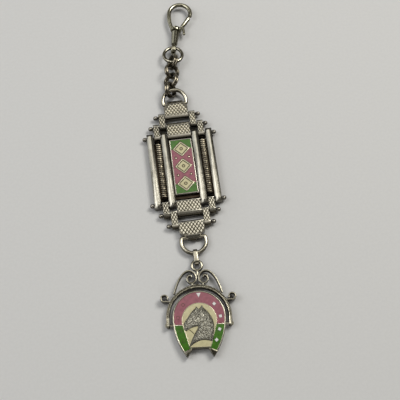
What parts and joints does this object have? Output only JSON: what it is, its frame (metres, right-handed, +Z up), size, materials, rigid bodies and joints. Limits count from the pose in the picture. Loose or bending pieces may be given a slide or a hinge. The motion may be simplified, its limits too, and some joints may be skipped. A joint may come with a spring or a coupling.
{
  "type": "pocket watch chain",
  "caption": "Vest fob: sprung watch clip on a swivel, short round-link chain, stepped hinged panel with enamel plaque, and a spinning horseshoe pendant with a horse head",
  "frame": {"origin": "middle of the flat back of the centre panel, which lies on the table", "axes": "+Y along the strap towards the watch clip, +X across it, +Z up through the face"},
  "size_m": [0.0322, 0.1644, 0.007],
  "materials": {
    "polished_nickel": "polished nickel silver, darkened in the recesses",
    "knurled_nickel": "knurled nickel silver, darkened between the points",
    "oxidised_nickel": "dark oxidised nickel silver",
    "plaque_enamel": "glossy fired enamel in rose, green and cream",
    "spring_wire": "drawn wire, darkened between the turns",
    "pin_nickel": "polished nickel silver pin",
    "ring_nickel": "polished nickel silver wire",
    "chain_nickel": "worn nickel wire, dark where the links touch",
    "clip_nickel": "polished nickel, slightly yellowed",
    "pendant_silver": "silver plate, worn bright on the edges",
    "medallion_enamel": "glossy fired enamel in rose, green and cream",
    "relief_silver": "bright silver relief",
    "engraved_silver": "engine-turned silver"
  },
  "bodies": {
    "panel": {"back_plate": "oxidised_nickel", "plaque_frame": "polished_nickel", "plaque_enamel": "plaque_enamel", "left_inner_rail": "polished_nickel", "right_inner_rail": "polished_nickel", "left_outer_rail": "polished_nickel", "right_outer_rail": "polished_nickel", "left_coil_rod": "oxidised_nickel", "right_coil_rod": "oxidised_nickel", "left_coil_spring": "spring_wire", "right_coil_spring": "spring_wire", "upper_inner_pin": "pin_nickel", "lower_inner_pin": "pin_nickel"},
    "upper_inner_row": {"upper_centre_plate": "knurled_nickel", "upper_left_spring_block": "knurled_nickel", "upper_right_spring_block": "knurled_nickel", "upper_middle_pin": "pin_nickel"},
    "upper_outer_row": {"upper_left_leg": "knurled_nickel", "upper_right_leg": "knurled_nickel", "upper_outer_pin": "pin_nickel"},
    "upper_end": {"upper_end_plate": "knurled_nickel"},
    "upper_ring": {"upper_d_ring": "ring_nickel"},
    "lower_inner_row": {"lower_centre_plate": "knurled_nickel", "lower_left_spring_block": "knurled_nickel", "lower_right_spring_block": "knurled_nickel", "lower_middle_pin": "pin_nickel"},
    "lower_outer_row": {"lower_left_leg": "knurled_nickel", "lower_right_leg": "knurled_nickel", "lower_outer_pin": "pin_nickel"},
    "lower_end": {"lower_end_plate": "knurled_nickel"},
    "lower_ring": {"lower_d_ring": "ring_nickel"},
    "link_pair_1": {"chain_link_1a": "chain_nickel", "chain_link_1b": "chain_nickel"},
    "link_pair_2": {"chain_link_2a": "chain_nickel", "chain_link_2b": "chain_nickel"},
    "link_pair_3": {"chain_link_3a": "chain_nickel", "chain_link_3b": "chain_nickel"},
    "link_pair_4": {"chain_link_4a": "chain_nickel", "chain_link_4b": "chain_nickel"},
    "jump": {"jump_ring": "ring_nickel"},
    "swivel": {"swivel_eye": "clip_nickel"},
    "clip": {"clip_body": "clip_nickel", "clip_gate_pin": "clip_nickel", "clip_gate_spring": "clip_nickel"},
    "gate": {"clip_gate": "clip_nickel"},
    "link": {"connecting_link": "ring_nickel"},
    "pendant": {"pendant_loop": "pendant_silver", "left_scroll": "pendant_silver", "right_scroll": "pendant_silver", "pendant_arch": "pendant_silver", "left_curl": "pendant_silver", "right_curl": "pendant_silver", "left_pivot_pin": "pendant_silver", "right_pivot_pin": "pendant_silver"},
    "spinner": {"medallion_body": "pendant_silver", "medallion_enamel": "medallion_enamel", "medallion_back": "engraved_silver", "horse_head": "relief_silver"}
  },
  "joints": [
    {"name": "upper_inner_hinge", "type": "hinge", "parent": "panel", "child": "upper_inner_row", "pos_m": [0, 0.01555, 0.00165], "axis": [1, 0, 0], "range_deg": [-60, 60]},
    {"name": "upper_middle_hinge", "type": "hinge", "parent": "upper_inner_row", "child": "upper_outer_row", "pos_m": [0, 0.0204, 0.00165], "axis": [-1, 0, 0], "range_deg": [-60, 60]},
    {"name": "upper_outer_hinge", "type": "hinge", "parent": "upper_outer_row", "child": "upper_end", "pos_m": [0, 0.0254, 0.00165], "axis": [1, 0, 0], "range_deg": [-60, 60]},
    {"name": "upper_ring_hinge", "type": "hinge", "parent": "upper_end", "child": "upper_ring", "pos_m": [0, 0.0312, 0.00165], "axis": [-1, 0, 0], "range_deg": [-60, 60]},
    {"name": "lower_inner_hinge", "type": "hinge", "parent": "panel", "child": "lower_inner_row", "pos_m": [0, -0.01555, 0.00165], "axis": [-1, 0, 0], "range_deg": [-60, 60]},
    {"name": "lower_middle_hinge", "type": "hinge", "parent": "lower_inner_row", "child": "lower_outer_row", "pos_m": [0, -0.0204, 0.00165], "axis": [1, 0, 0], "range_deg": [-60, 60]},
    {"name": "lower_outer_hinge", "type": "hinge", "parent": "lower_outer_row", "child": "lower_end", "pos_m": [0, -0.0254, 0.00165], "axis": [-1, 0, 0], "range_deg": [-60, 60]},
    {"name": "lower_ring_hinge", "type": "hinge", "parent": "lower_end", "child": "lower_ring", "pos_m": [0, -0.0312, 0.00165], "axis": [1, 0, 0], "range_deg": [-60, 60]},
    {"name": "chain_start_hinge", "type": "hinge", "parent": "upper_ring", "child": "link_pair_1", "pos_m": [-0.0012, 0.03786, 0.00265], "axis": [0.9717, 0.2336, 0.0349], "range_deg": [-40, 45]},
    {"name": "chain_hinge_1", "type": "hinge", "parent": "link_pair_1", "child": "link_pair_2", "pos_m": [-0.00064, 0.04095, 0.0031], "axis": [0.4916, -0.0911, -0.866], "range_deg": [-25, 12]},
    {"name": "chain_hinge_2", "type": "hinge", "parent": "link_pair_2", "child": "link_pair_3", "pos_m": [0.00024, 0.04569, 0.0031], "axis": [0.7532, -0.1396, 0.6428], "range_deg": [-25, 25]},
    {"name": "chain_hinge_3", "type": "hinge", "parent": "link_pair_3", "child": "link_pair_4", "pos_m": [0.00112, 0.05043, 0.0031], "axis": [0.7532, -0.1396, -0.6428], "range_deg": [-25, 13]},
    {"name": "jump_ring_hinge", "type": "hinge", "parent": "link_pair_4", "child": "jump", "pos_m": [0.00125, 0.05187, 0.00367], "axis": [0.9781, -0.2079, 0], "range_deg": [-40, 45]},
    {"name": "swivel_hinge", "type": "hinge", "parent": "jump", "child": "swivel", "pos_m": [0.00295, 0.05985, 0.00253], "axis": [-0.9781, 0.2079, 0], "range_deg": [-45, 45]},
    {"name": "swivel_spin", "type": "hinge", "parent": "swivel", "child": "clip", "pos_m": [0.00327, 0.06139, 0.0025], "axis": [0.2079, 0.9781, 0], "continuous": true},
    {"name": "gate_hinge", "type": "hinge", "parent": "clip", "child": "gate", "pos_m": [0.00683, 0.06922, 0.0025], "axis": [0, 0, 1], "range_deg": [0, 30], "stiffness_Nm_per_rad": 0.01},
    {"name": "link_hinge", "type": "hinge", "parent": "lower_ring", "child": "link", "pos_m": [0, -0.03808, 0.00165], "axis": [1, 0, 0], "range_deg": [-50, 50]},
    {"name": "pendant_hinge", "type": "hinge", "parent": "link", "child": "pendant", "pos_m": [0.00007, -0.04145, 0.00165], "axis": [-0.9962, 0.0872, 0], "range_deg": [-50, 50]},
    {"name": "spinner_turn", "type": "hinge", "parent": "pendant", "child": "spinner", "pos_m": [-0.00217, -0.06715, 0.00165], "axis": [0.9962, -0.0872, 0], "continuous": true}
  ]
}
